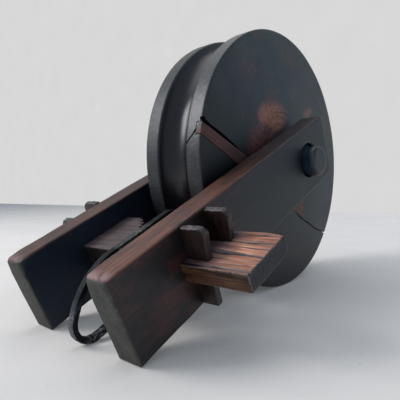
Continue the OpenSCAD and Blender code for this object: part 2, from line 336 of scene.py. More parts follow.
def turning_tree():
    """Turns a profile about the Y axis, and gives it the slight waver of hand work."""
    tree, asked = open_tree("turning", {
        "Profile": "Geometry", "Turning radius": "Float", "Steps": "Int", "Waver": "Float",
        "Waver size": "Float", "Finish": "Material"}, "Turned")
    profile = asked["Profile"]
    path = profile.node("GeometryNodeCurvePrimitiveCircle", {
        "Resolution": asked["Steps"], "Radius": asked["Turning radius"]})
    flat = profile.node("GeometryNodeCurveToMesh", {"Curve": path, "Profile Curve": profile})
    whole = profile.node("GeometryNodeMergeByDistance", {"Geometry": flat, "Distance": 0.01 * MM})
    upright = profile.node("GeometryNodeTransform", {
        "Geometry": whole, "Rotation": (math.pi / 2, 0, 0)})
    close_tree(upright, asked["Waver"], asked["Waver size"], asked["Finish"])
    return tree


def line_object(name, points, closed):
    """A curve object through flat points."""
    curve = bpy.data.curves.new(name, "CURVE")
    curve.dimensions = "3D"
    curve.twist_mode = "Z_UP"
    spline = curve.splines.new("POLY")
    spline.points.add(len(points) - 1)
    for made, (x, y) in zip(spline.points, points):
        made.co = (x, y, 0, 1)
    spline.use_cyclic_u = closed
    return add_object(name, curve)


def face_out(mesh):
    """Turns the faces of a closed mesh outwards."""
    work = bmesh.new()
    work.from_mesh(mesh)
    bmesh.ops.recalc_face_normals(work, faces=work.faces)
    work.to_mesh(mesh)
    work.free()


def shade(mesh, sharp_from=38):
    """Shades smooth, but keeps edges sharp from an angle in degrees."""
    mesh.shade_smooth()
    mesh.set_sharp_from_angle(angle=math.radians(sharp_from))


def evaluated_mesh(piece, name):
    """A plain mesh of an object with its modifiers carried out."""
    depsgraph = bpy.context.evaluated_depsgraph_get()
    mesh = bpy.data.meshes.new_from_object(piece.evaluated_get(depsgraph))
    mesh.name = name
    return mesh


def grow(name, seed, tree, values):
    """Runs a geometry tree on a curve, and returns its result as a plain mesh object."""
    growth = seed.modifiers.new("growth", "NODES")
    growth.node_group = tree
    for item in tree.interface.items_tree:
        if item.in_out == "INPUT" and item.name in values:
            growth[item.identifier] = values[item.name]
    mesh = evaluated_mesh(seed, name)
    bpy.data.objects.remove(seed)
    face_out(mesh)
    return add_object(name, mesh)


turning = turning_tree()
turning_r = 10 * MM


def turned(name, outline, closed, steps, waver=0.0, waver_size=1.0, material=None):
    """A piece turned round the axle, from an outline of radius and place along the axle."""
    profile = line_object(name + " profile", [(r - turning_r, y) for r, y in outline], closed)
    piece = grow(name, profile, turning, {
        "Turning radius": turning_r, "Steps": steps, "Waver": waver, "Waver size": waver_size,
        "Finish": material})
    piece.data.transform(Matrix.Translation(wheel_centre))
    return piece


def closed_mesh(name, points, faces):
    """An object from points and faces that close."""
    mesh = bpy.data.meshes.new(name)
    mesh.from_pydata([tuple(p) for p in points], [], faces)
    face_out(mesh)
    return add_object(name, mesh)


def prism(name, outline, low, high, place):
    """Prism over a flat outline, from one height to another, set in a place."""
    count = len(outline)
    points = [Vector((x, y, z)) for z in (low, high) for x, y in outline]
    faces = [list(range(count)), list(range(count, 2 * count))]
    faces += [[i, (i + 1) % count, count + (i + 1) % count, count + i] for i in range(count)]
    made = closed_mesh(name, points, faces)
    made.data.transform(place)
    return made


# The wedge that cuts a crack stands so far out of the surface
gash_over = 2 * MM


def gash(name, points, outwards, widths, depths):
    """Wedge along a line on a surface, to cut a crack with."""
    rims = []
    for i, (point, outward, width, depth) in enumerate(zip(points, outwards, widths, depths)):
        ahead = Vector(points[min(i + 1, len(points) - 1)]) - Vector(points[max(i - 1, 0)])
        side = ahead.cross(Vector(outward)).normalized() * width / 2
        top = Vector(point) + Vector(outward) * gash_over
        foot = Vector(point) - Vector(outward) * depth
        rims += [top - side, top + side, foot + side * 0.3, foot - side * 0.3]
    faces = [[0, 1, 2, 3], [len(rims) - 4 + k for k in range(4)]]
    for i in range(len(points) - 1):
        a, b = 4 * i, 4 * i + 4
        faces += [[a + k, a + (k + 1) % 4, b + (k + 1) % 4, b + k] for k in range(4)]
    return closed_mesh(name, rims, faces)


def carve(piece, tools, operation="DIFFERENCE"):
    """Cuts closed shapes out of a piece, or joins them to it, and removes them."""
    for tool in tools:
        step = piece.modifiers.new("tool", "BOOLEAN")
        step.operation = operation
        step.solver = "EXACT"
        step.object = tool
    piece.data = evaluated_mesh(piece, piece.name)
    piece.modifiers.clear()
    for tool in tools:
        bpy.data.objects.remove(tool)


def sheave_finish():
    """Dark hardwood end grain: rings, rays, rubbed patches, scratched rims, painted shade and highlight.
    """
    material, spot = start_finish("sheave wood", Matrix.Translation(wheel_centre))
    x, y, z = spot.parts()
    radius = (x * x + z * z) ** 0.5
    angle = x.maths("ARCTAN2", z, x)
    near = y.past(-43, -44.6)
    patches = spot.clouds(45, 4.0, 0.6)
    hues = spot.clouds(95, 2.0, 0.5, (1, 1, 1), 0.5)
    bulge = spot.clouds(110, 1.0)
    rings = spot.node("ShaderNodeTexNoise", {
        "W": radius + bulge * 30 * MM, "Scale": 1 / (4.5 * MM), "Detail": 3.0, "Roughness": 0.65},
        {"noise_dimensions": "1D"})
    rays = spot.node("ShaderNodeTexNoise", {
        "Vector": spot.node("ShaderNodeCombineXYZ", {0: angle * 34.0, 1: radius * 14.0}),
        "Scale": 1.0, "Detail": 3.0, "Roughness": 0.6}, {"noise_dimensions": "2D"})
    grain = rings * 0.6 + rays * 0.4
    # Painted shade: the face darkens to near black towards its lower left, and keeps its blue-black and
    # brown stain towards its upper right
    painted_light_share = (x * 0.6 + z * 0.8 + (patches - 0.5) * 80 * MM).past(-100, 90)
    cool = hues.shades(0.4, 0.6, (0.017, 0.028, 0.038), (0.033, 0.044, 0.038))
    stain = patches.shades(0.50, 0.66, cool, (0.052, 0.034, 0.031))
    stain = painted_light_share.pick((0.0005, 0.0016, 0.0022), stain)
    flecks = spot.clouds(7, 3.0, 0.7, (1, 1, 1), 1.2)
    streaked = (x * 0.8 + z * 0.45).past(60, 165) * (flecks * 0.6 + rings * 0.4).rise(0.46, 0.62)
    stain = (streaked * 0.6).pick(stain, (0.095, 0.046, 0.038))
    stain = stain * (0.72 + (flecks * 0.6 + grain * 0.4).rise(0.36, 0.64) * 0.56)

    def patch(middle_x, middle_z, long, wide, slant):
        """1 inside a ragged oval where the stain is rubbed off the near face, 0 outside it."""
        right, up = x - middle_x * MM, z - middle_z * MM
        run = (right * math.cos(slant) + up * math.sin(slant)) / (long * MM)
        over = (up * math.cos(slant) - right * math.sin(slant)) / (wide * MM)
        return ((run * run + over * over) ** 0.5 + (patches - 0.5) * 1.1).rise(1.2, 0.55) * near

    # Two patches, one red and one brown, are rubbed bare, with a small brown one near the rim
    red = (rays * 0.3 + flecks * 0.5 + rings * 0.2).shades(
        0.38, 0.62, (0.022, 0.006, 0.008), (0.190, 0.062, 0.055))
    brown = (rings * 0.25 + flecks * 0.45 + rays * 0.3).shades(
        0.34, 0.64, (0.105, 0.034, 0.022), (0.40, 0.165, 0.100))
    reddened = patch(-48, 33, long=50, wide=25, slant=0.58)
    rubbed = patch(-24, 62, long=38, wide=21, slant=0.05)
    face = (reddened * 0.92).pick(stain, red)
    face = (rubbed * 0.95).pick(face, brown)
    face = (patch(78, 74, long=20, wide=8, slant=0.7) * 0.5).pick(face, brown)
    bowed = radius + (flecks - 0.5) * 5 * MM
    dark_ring = bowed.hump(68 * MM, 1.8 * MM) + bowed.hump(81 * MM, 1.3 * MM) * 0.5
    face = face * (1 - dark_ring * angle.hump(math.radians(84), math.radians(34)) * 0.75)
    # Scratched rims with a painted highlight, broken by the scratches, on the side that faces the window
    # lamp round the split, and a groove that the rope has polished
    fibres = spot.clouds(1.3, 2.0, 0.6, (1, 22, 1))
    scuffs = spot.clouds(2.5, 4.0, 0.75, (1, 4, 1)).rise(0.42, 0.72)
    on_rim = radius.past(-1.6, -0.4, sheave_r)
    rim = (scuffs * 0.7 + fibres * 0.35).pick((0.002, 0.0025, 0.0035), (0.034, 0.035, 0.040))
    # Painted highlight: the rims are paler where they face the window lamp
    painted_rim_highlight = angle.hump(math.radians(163), math.radians(17)) * (fibres * 0.6 + scuffs * 0.6)
    rim = (painted_rim_highlight * 0.7).pick(rim, (0.11, 0.107, 0.115))
    tread = abs(y).past(2, -2, groove_half)
    hollow = fibres.shades(0.3, 0.7, (0.0020, 0.0018, 0.0035), (0.015, 0.008, 0.012))
    in_groove = tread * radius.rise(bore_r + 20 * MM, sheave_r - 30 * MM)
    edge = on_rim * (1 - in_groove)
    colour = in_groove.pick(edge.pick(face, rim), hollow)
    far_rim = edge * y.rise(0.0, groove_half)
    roughness = 0.38 + flecks * 0.10 - edge * 0.03 + far_rim * 0.12 - in_groove * 0.13 + rubbed * 0.12
    height = (rings * 0.10 + flecks * 0.2) * (1 - edge) + (fibres * 0.5 + scuffs * 0.3) * edge
    height = height * (1 - in_groove) + fibres * 0.3 * in_groove
    end_finish(colour, roughness, height, 0.25 * MM, {"IOR": 1.5})
    return material


groove_r = (groove_half ** 2 + groove_depth ** 2) / (2 * groove_depth)
groove_turn = math.asin(groove_half / groove_r)
groove_angles = [groove_turn * (2 * i / groove_steps - 1) for i in range(1, groove_steps)]
groove_line = [(sheave_r - groove_depth + groove_r * (1 - math.cos(a)), groove_r * math.sin(a))
               for a in groove_angles]
sheave_corners = ([(bore_r, -sheave_half), (sheave_r, -sheave_half), (sheave_r, -groove_half)]
                  + groove_line
                  + [(sheave_r, groove_half), (sheave_r, sheave_half), (bore_r, sheave_half)])
sheave_radii = ([0, rim_round, lip_round] + [0] * len(groove_line) + [lip_round, rim_round, 0])
sheave_outline = rounded_outline(sheave_corners, sheave_radii, turning_step)
sheave = turned("sheave_wheel", sheave_outline, True, steps=360, waver=0.8 * MM, waver_size=70 * MM,
                material=sheave_finish())

# The strip lies in the near face. A frame stands there with X down along it and Z out of the wheel.
strip_fall = math.radians(22.8)
strip_place = (Matrix.Translation(wheel_centre + Vector((0, -sheave_half, 0)))
               @ Matrix(((math.cos(strip_fall), math.sin(strip_fall), 0),
                         (0, 0, -1),
                         (-math.sin(strip_fall), math.cos(strip_fall), 0))).to_4x4())
strip_offset = 32 * MM
strip_rim_w = 14 * MM
strip_end_w = 26 * MM
strip_reach = 85 * MM
strip_depth = 8 * MM
strip_shrink = 0.5 * MM
# What cuts a shape out stands so far out of it
cut_over = 5 * MM
pocket = prism("pocket", [(-sheave_r - cut_over, -strip_offset),
                          (-sheave_r - cut_over, -strip_offset - strip_rim_w),
                          (strip_reach, -strip_offset - strip_end_w),
                          (strip_reach, -strip_offset)], -strip_depth, cut_over, strip_place)


def on_face(points):
    """Places of points of the near face, given in the strip's frame."""
    return [strip_place @ Vector((x * MM, y * MM, 0)) for x, y in points]


# Each station of a crack: its two coordinates, its width and its depth, in millimetres.
# On the rim the first coordinate is an angle in degrees.
gap_stations = [(-184, -28.4, 8.6, 3), (-176, -28.6, 8.2, 3.5), (-168, -29.9, 5.4, 8),
                (-160, -30.5, 4.2, 14), (-148, -30.2, 4.8, 16), (-134, -30.4, 4.4, 16),
                (-120, -30.7, 3.6, 14), (-108, -31.2, 2.6, 10), (-96, -31.9, 1.0, 5)]
face_stations = [(64, -57.5, 1.2, 5), (72, -59.2, 2.0, 10), (84, -59.8, 2.2, 14), (92, -60.4, 2.0, 14),
                 (105, -59.6, 2.3, 14), (121, -60.5, 2.2, 14), (133, -61.2, 2.3, 14),
                 (148, -59.2, 2.0, 13), (160, -57.6, 2.4, 10), (167, -57.2, 3.8, 7),
                 (178, -57.0, 5.6, 6)]
rim_stations = [(164.8, -50, 3.6, 5), (165.6, -47, 3.4, 8), (167.2, -44.4, 2.9, 12),
                (168.8, -41.4, 2.6, 14), (170.2, -37.6, 2.6, 14), (172.3, -32.2, 2.3, 14),
                (174.1, -26.6, 2.1, 11), (175.8, -22, 1.0, 6)]


def crack(name, stations, places, outwards):
    """A gash through stations that have their places and outward directions on the wheel."""
    widths, depths = [[station[i] * MM for station in stations] for i in (2, 3)]
    return gash(name, places, outwards, widths, depths)


near_side = Vector((0, -1, 0))
cracks = [crack(name, stations, on_face([station[:2] for station in stations]),
                [near_side] * len(stations))
          for name, stations in (("gap", gap_stations), ("face crack", face_stations))]
rim_angles = [math.radians(station[0]) for station in rim_stations]
rim_outward = [Vector((math.cos(angle), 0, math.sin(angle))) for angle in rim_angles]
cracks.append(crack("rim crack", rim_stations,
                    [wheel_centre + outward * sheave_r + Vector((0, station[1] * MM, 0))
                     for outward, station in zip(rim_outward, rim_stations)], rim_outward))
carve(sheave, [pocket] + cracks)
shade(sheave.data)
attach(sheave, "wheel")
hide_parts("sheave")

# The strip: a long slip of plainer wood let flush into the near face, from the rim past the axle.
# It has shrunk, so a dark gap lies open above its outer end.
edge_shares = (0.0, 0.12, 0.26, 0.44, 0.68, 1.0)


def block_stations(low, high, step, edge):
    """Places of grid lines across a block: close at both ends, and by the step between."""
    ends = [edge * share for share in edge_shares]
    count = max(1, math.ceil((high - low - 2 * edge) / step))
    inner = [low + edge + (high - low - 2 * edge) * i / count for i in range(count + 1)]
    return [low + e for e in ends[:-1]] + inner + [high - e for e in reversed(ends[:-1])]


def worn_block(name, low, high, steps, edge, radius, relief, place, warp=None):
    """A block with worn arrises. Its grid's steps and the width of its edge are in millimetres.

    Radius, relief and warp are functions of a point in the block.
    """
    grid = [block_stations(a, b, step * MM, edge * MM) for a, b, step in zip(low, high, steps)]
    last = [len(line) - 1 for line in grid]
    index, points, faces = {}, [], []

    def corner(*key):
        if key not in index:
            index[key] = len(points)
            points.append(Vector([grid[axis][key[axis]] for axis in range(3)]))
        return index[key]

    for axis in range(3):
        b, c = (axis + 1) % 3, (axis + 2) % 3
        for end in (0, last[axis]):
            for i in range(last[b]):
                for j in range(last[c]):
                    keys = []
                    for di, dj in ((0, 0), (1, 0), (1, 1), (0, 1)):
                        key = [0, 0, 0]
                        key[axis], key[b], key[c] = end, i + di, j + dj
                        keys.append(corner(*key))
                    faces.append(keys)
    shaped = []
    for point in points:
        r = radius(point)
        inside = Vector([min(max(v, a + r), b - r) for v, a, b in zip(point, low, high)])
        outward = (point - inside).normalized()
        moved = inside + outward * (r + relief(point, outward))
        shaped.append(place @ (warp(moved) if warp else moved))
    return closed_mesh(name, shaped, faces)


def lumps(point, size, stretch=(1, 1, 1)):
    """Smooth noise about 0, with lumps of a size in millimetres, stretched along the axes."""
    return noise.noise(Vector([v / (size * MM) / s for v, s in zip(point, stretch)]))


def arris(spot, low, high, width):
    """1 on the arrises of a block, falling to 0 at a width from them."""
    x, y, z = [abs(v - (a + b) / 2).rise((b - a) / 2 - width, (b - a) / 2)
               for v, a, b in zip(spot.parts(), low, high)]
    return (x * y).most(y * z).most(x * z)


strip_start = 0.4 * MM - math.sqrt(sheave_r ** 2 - strip_offset ** 2)
strip_low = (strip_start, -strip_rim_w, -strip_depth)
strip_high = (strip_reach, 0, 0)
chip_run = 4 * MM
chip_depth = 2.2 * MM


def strip_warp(point):
    """Widens the strip towards its inner end, rounds its outer end to the rim and places it."""
    share = (point.x - strip_start) / (strip_reach - strip_start)
    width = strip_rim_w + (strip_end_w - strip_rim_w) * share
    y = point.y * (width - strip_shrink) / strip_rim_w - strip_offset
    short = max(0, 1 - 4 * share) * (math.sqrt(sheave_r ** 2 - strip_offset ** 2)
                                     - math.sqrt(sheave_r ** 2 - y ** 2))
    return Vector((point.x + short, y, point.z))


def strip_relief(point, outward):
    """Long grain on the strip, and chips out of the arris of its outer end."""
    at_end = max(0, 1 - (point.x - strip_start) / chip_run)
    chip = at_end * max(0, outward.z) * (0.45 + lumps(point, 2.4)) * chip_depth
    return lumps(point, 2.5, (12, 1, 1)) * 0.25 * MM - max(0, chip)


def strip_finish():
    """Dull pinkish-brown wood with dark long grain."""
    material, spot = start_finish("strip wood", strip_place)
    x, _, _ = spot.parts()
    grain = spot.clouds(1.6, 3.0, 0.65, (28, 1, 1))
    patches = spot.clouds(18, 3.0, 0.6, (3, 1, 1))
    wood = (grain * 0.75 + patches * 0.35).shades(
        0.32, 0.72, (0.014, 0.005, 0.005), (0.115, 0.038, 0.029))
    chips = spot.clouds(2.2, 3.0, 0.7)
    cut_end = (x + (chips - 0.5) * 4 * MM).past(-174, -176.6)
    colour = cut_end.pick(wood, chips.shades(0.4, 0.62, (0.02, 0.02, 0.024), (0.27, 0.26, 0.26)))
    brown = x.past(30, 70)
    colour = (brown * 0.8).pick(colour, grain.shades(
        0.3, 0.7, (0.035, 0.013, 0.008), (0.18, 0.085, 0.052)))
    end_finish(colour, 0.5 + grain * 0.2, grain, 0.3 * MM)
    return material


strip = worn_block("sheave_strip_wood", strip_low, strip_high, steps=(5, 4, 4), edge=1.2,
                   radius=lambda p: 0.6 * MM, relief=strip_relief, place=strip_place,
                   warp=strip_warp)
strip.data.materials.append(strip_finish())
shade(strip.data)
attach(strip, "wheel")
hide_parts("sheave_strip")

# The axle: a round bar of blackened wood, knocked through both boards and the wheel.
# Its ends stand out a little, with edges worn round and tops beaten flat.
axle_r = 21.5 * MM
axle_half = 102 * MM
axle_round = 5 * MM
axle_steps = 96


def axle_finish():
    """Blackened wood, near black on its ends, with a painted bluish sheen on its long side."""
    material, spot = start_finish("axle wood", Matrix.Translation(wheel_centre))
    x, y, z = spot.parts()
    radius = (x * x + z * z) ** 0.5
    pores = spot.clouds(1.5, 3.0, 0.65, (1, 6, 1))
    stains = spot.clouds(14, 3.0, 0.55, (1, 2, 1.6))
    tone = (stains * 0.8 + pores * 0.3).rise(0.35, 0.75)
    end_grain = abs(y).past(-4, -2, axle_half)
    # Painted sheen: the long side is coloured a lighter blue for the sheen on it
    long_side = tone.pick((0.006, 0.012, 0.021), (0.018, 0.033, 0.055))
    colour = end_grain.pick(long_side, tone.pick((0.0008, 0.0018, 0.0018), (0.006, 0.010, 0.0095)))
    worn = radius.hump(axle_r - 2.0 * MM, 2.2 * MM) * end_grain * pores.rise(0.3, 0.6)
    colour = (worn * 0.5).pick(colour, (0.10, 0.105, 0.105))
    end_finish(colour, 0.24 + pores * 0.16 + end_grain * 0.1, pores * 0.6 + stains * 0.4, 0.4 * MM,
               {"IOR": 1.5})
    return material


axle_corners = [(0, -axle_half), (axle_r, -axle_half), (axle_r, axle_half), (0, axle_half)]
axle_outline = rounded_outline(axle_corners, [0, axle_round, axle_round, 0], 3 * MM, closed=False)
axle = turned("axle_bar", axle_outline, False, axle_steps, waver=0.35 * MM, waver_size=12 * MM,
              material=axle_finish())
# Blows have beaten each end down, so it is lower and flatter on top than the bar between
beaten_from = 79 * MM
beaten_run = 8 * MM
beaten_drop = 2.2 * MM
beaten_flat = 3.2 * MM
for vertex in axle.data.vertices:
    share = min(1, max(0, (abs(vertex.co.y) - beaten_from) / beaten_run))
    height = (vertex.co.z - wheel_centre.z) / axle_r
    vertex.co.z -= share * share * (3 - 2 * share) * (beaten_drop + beaten_flat * max(0, height) ** 2)
shade(axle.data)
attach(axle, "side_frame")
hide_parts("axle")

# The two boards: straight hardwood planks, each with an axle hole and a mortise.
# Their upper edges are worn to bright brown wood, and their tails end in grey end grain.
across = Vector(joints["near_tail_peg_draw"]["axis"])
along = Vector((across.z, 0, -across.x))
axle_along = 353 * MM
board_length = 411 * MM
board_width = 85 * MM
board_thick = 30 * MM
board_inner = 56.5 * MM
board_outer = board_inner + board_thick
board_round = 1.6 * MM
tail_round = 6.5 * MM
tail_worn = 16 * MM
dent_depth = 2.2 * MM
tail = wheel_centre - along * axle_along - across * board_width / 2
board_place = Matrix.Translation(tail) @ Matrix((along, Vector((0, 1, 0)), across)).transposed().to_4x4()


def board_radius(point):
    """Radius of a board's arrises, which hands have worn most at the upper tail corner."""
    worn = max(0, 1 + lumps(point, 28) * 0.9 + lumps(point, 9) * 0.5)
    tail_corner = max(0, 1 - math.hypot(point.x, board_width - point.z) / tail_worn)
    return board_round * (0.55 + 0.6 * worn) + (tail_round - board_round) * tail_corner ** 0.7


def board_relief(point, outward):
    """Shallow waves of a hand plane, grain on the upper edge and dents along its arris."""
    wave = lumps(point, 40, (3, 1, 1)) * 0.35 * MM
    top = max(0, outward.z)
    grain = lumps(point, 2.2, (30, 1, 1)) * 0.22 * MM * top
    on_arris = top > 0.05 and abs(outward.y) > 0.05
    dent = max(0, lumps(point, 7) - 0.35) * dent_depth * on_arris
    return wave + grain - dent


def board_finish(name, low, high, painted_light_level):
    """Dark stained hardwood, bright along its upper edge and grey on its ends."""
    material, spot = start_finish(name, board_place)
    s, y, t = spot.parts()
    grain = spot.clouds(1.5, 4.0, 0.65, (38, 1, 1), 0.3)
    fine = spot.clouds(0.6, 2.0, 0.6, (45, 1, 1))
    mottle = spot.clouds(16, 4.0, 0.6, (2.4, 1, 1), 0.6)
    broad = spot.clouds(60, 2.0, 0.5, (2, 1, 1))
    stain = (grain * 0.5 + mottle * 0.5).shades(
        0.35, 0.7, (0.0035, 0.0022, 0.0032), (0.021, 0.0085, 0.0095))
    cool = (grain * 0.4 + broad * 0.6).shades(
        0.35, 0.7, (0.0008, 0.0016, 0.0022), (0.0090, 0.0105, 0.0095))
    stain = (s + (mottle - 0.5) * 120 * MM).past(130, 230).pick(stain, cool)
    redness = mottle.rise(0.46, 0.60) * broad.rise(0.40, 0.60) * s.past(230, 120)
    face = (redness * 0.8).pick(stain, grain.shades(
        0.3, 0.7, (0.014, 0.004, 0.004), (0.080, 0.020, 0.016)))
    # Painted shade: the inner faces, between the boards, are coloured dark blue
    inner = abs(y).past(2, 0.7, board_inner)
    face = inner.pick(face, (grain * 0.5 + broad * 0.5).shades(
        0.35, 0.68, (0.0012, 0.0045, 0.0110), (0.0050, 0.0120, 0.0250)))
    # The upper edge: bright and pink at the tail, brown along its middle, grey near the wheel
    top = t.past(-3.2, -1, high[2])
    streaks = (grain * 0.6 + fine * 0.4).rise(0.36, 0.64)
    bright = streaks.pick((0.018, 0.004, 0.002), (0.215, 0.072, 0.040))
    brown = streaks.pick((0.006, 0.001, 0.001), (0.110, 0.029, 0.014))
    dull = streaks.pick((0.012, 0.008, 0.009), (0.060, 0.040, 0.046))
    top_wood = s.past(70, 210).pick(bright, brown)
    top_wood = s.past(220, 320).pick(top_wood, dull)
    rubbed_tail = s.past(15, 3) * mottle.rise(0.3, 0.55)
    # The upper edge's colour is scaled down on the far board: painted shade
    top_wood = (rubbed_tail * 0.75).pick(top_wood, (0.32, 0.185, 0.18)) * painted_light_level
    patchy = mottle.rise(0.36, 0.52) * 0.45 + 0.55
    colour = (top * patchy).pick(face, top_wood)
    # End grain
    tail_end = s.past(2.5, 1) * (1 - top)
    pores = spot.clouds(1.0, 3.0, 0.7)
    blotch = spot.clouds(12, 4.0, 0.7)
    end_wood = (pores * 0.5 + blotch * 0.5).shades(
        0.35, 0.68, (0.018, 0.0185, 0.0145), (0.062, 0.064, 0.052))
    colour = tail_end.pick(colour, end_wood)
    worn = arris(spot, low, high, 1.9 * MM) * spot.clouds(5, 3.0, 0.7).rise(0.36, 0.6) * (1 - inner)
    colour = (worn * 0.5).pick(colour, (0.15, 0.125, 0.12))
    roughness = 0.36 + grain * 0.14 + top * 0.16 + tail_end * 0.3
    height = grain * 0.5 + fine * 0.3 * top + mottle * 0.4 + pores * tail_end * 0.5
    end_finish(colour, roughness, height, 0.35 * MM, {"IOR": 1.5})
    return material


hole_play = 0.1 * MM
hole_lip = 1.4 * MM
# The axle has worn each hole wider on one side, so deep and so far aside
worn_deep = 9 * MM
worn_aside = (-3.4 * MM, 0, -4.2 * MM)
mortise_from, mortise_to = 74.6 * MM, 140.5 * MM
mortise_low, mortise_high = 33.0 * MM, 52.2 * MM
# The far board's upper edge is a darker copy of the near one's: painted shade
for side_name, side, painted_light_level in (("near", -1, 1.0), ("far", 1, 0.55)):
    faces = sorted((side * board_inner, side * board_outer))
    low, high = (0, faces[0], 0), (board_length, faces[1], board_width)
    board = worn_block(side_name + "_board", low, high, steps=(4.5, 4, 4.5), edge=4.5,
                       radius=board_radius, relief=board_relief, place=board_place)
    board.data.materials.append(board_finish(side_name + " board wood", low, high, painted_light_level))
    mortise = prism("mortise", [(mortise_from, mortise_low), (mortise_to, mortise_low),
                                (mortise_to, mortise_high), (mortise_from, mortise_high)],
                    -faces[1] - cut_over, -faces[0] + cut_over,
                    board_place @ Matrix.Rotation(math.pi / 2, 4, "X"))
    hole_line = [(0, board_outer + cut_over), (axle_r + 5 * hole_lip, board_outer + cut_over),
                 (axle_r + 1.6 * hole_lip, board_outer), (axle_r + hole_play, board_outer - hole_lip),
                 (axle_r + hole_play, board_inner - cut_over), (0, board_inner - cut_over)]
    worn_line = [(0, board_outer + cut_over), (axle_r, board_outer + cut_over),
                 (axle_r, board_outer - worn_deep), (0, board_outer - worn_deep)]
    hole, worn = [turned("hole", [(r, side * y) for r, y in line], False, axle_steps)
                  for line in (hole_line, worn_line)]
    worn.data.transform(Matrix.Translation(worn_aside))
    carve(board, [mortise, hole, worn])
    shade(board.data)
    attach(board, "side_frame")
    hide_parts(side_name + "_cheek")

# The tie beam: one piece of oak-like wood through both boards, shouldered on its tail side.
# Weather has cut deep ridges in its ends, and its wheel-side edge has torn off between the boards.
beam_from, beam_to = 71 * MM, 140 * MM
beam_low, beam_top = 25.6 * MM, 60.6 * MM
tenon_from = 75 * MM
tenon_low, tenon_top = 33.6 * MM, 51.6 * MM
tenon_end = 159.5 * MM
# Each furrow: its place along the boards, half its width and its depth, in millimetres
furrows = ((79.5, 0.8, 1.1), (92, 0.6, 0.5), (102, 1.5, 2.0), (113, 0.6, 0.8), (120, 0.9, 1.0),
           (127, 0.6, 0.6), (134, 0.8, 0.9))
furrow_widening = 1.3
sway_width = 2 * MM
corner_worn = 13 * MM
corner_round = 3.6 * MM


def furrow_depth(s, y):
    """How deep the weathered top of the beam's ends lies under its ridges."""
    sway = noise.noise(Vector((s / (20 * MM), y / (70 * MM), 3))) * sway_width
    widen = 1 + furrow_widening * max(0, tenon_end - abs(y)) / (tenon_end - board_outer)
    depth = sum(deep * MM * math.exp(-((s + sway - middle * MM) / (half * MM * widen)) ** 2)
                * (0.75 + 0.9 * noise.noise(Vector((middle / 3, y / (14 * MM), 5))))
                for middle, half, deep in furrows)
    checks = noise.noise(Vector(((s + sway) / (4.6 * MM), y / (85 * MM), 0)))
    ripple = noise.noise(Vector(((s + sway) / (1.5 * MM), y / (60 * MM), 7)))
    return max(0, depth) + max(0, 1 - abs(checks) * 6) * 0.8 * MM + (0.5 - ripple) * 0.45 * MM


def beam_radius(point):
    """Radius of the beam's arrises, more at the outer corner of its ends on the wheel side."""
    corner = max(0, 1 - math.hypot(beam_to - point.x, tenon_end - abs(point.y)) / corner_worn)
    return (0.9 + 0.5 * lumps(point, 8)) * MM + corner_round * corner ** 0.8


def end_relief(point, outward):
    """Ridges on the top of the beam's ends, shallower on their other sides."""
    free = min(1, max(0, (abs(point.y) - board_outer + 4 * MM) / (6 * MM)))
    top = max(0, outward.z) * furrow_depth(point.x, point.y) * free
    sides = (1 - max(0, outward.z)) * (lumps(point, 2.4, (1, 14, 1)) * 0.3 * MM)
    end = abs(outward.y) * lumps(point, 6) * 0.3 * MM
    return sides + end - top


def beam_relief(point, outward):
    """Fine grain along the beam."""
    return lumps(point, 2.0, (1, 16, 1)) * 0.25 * MM


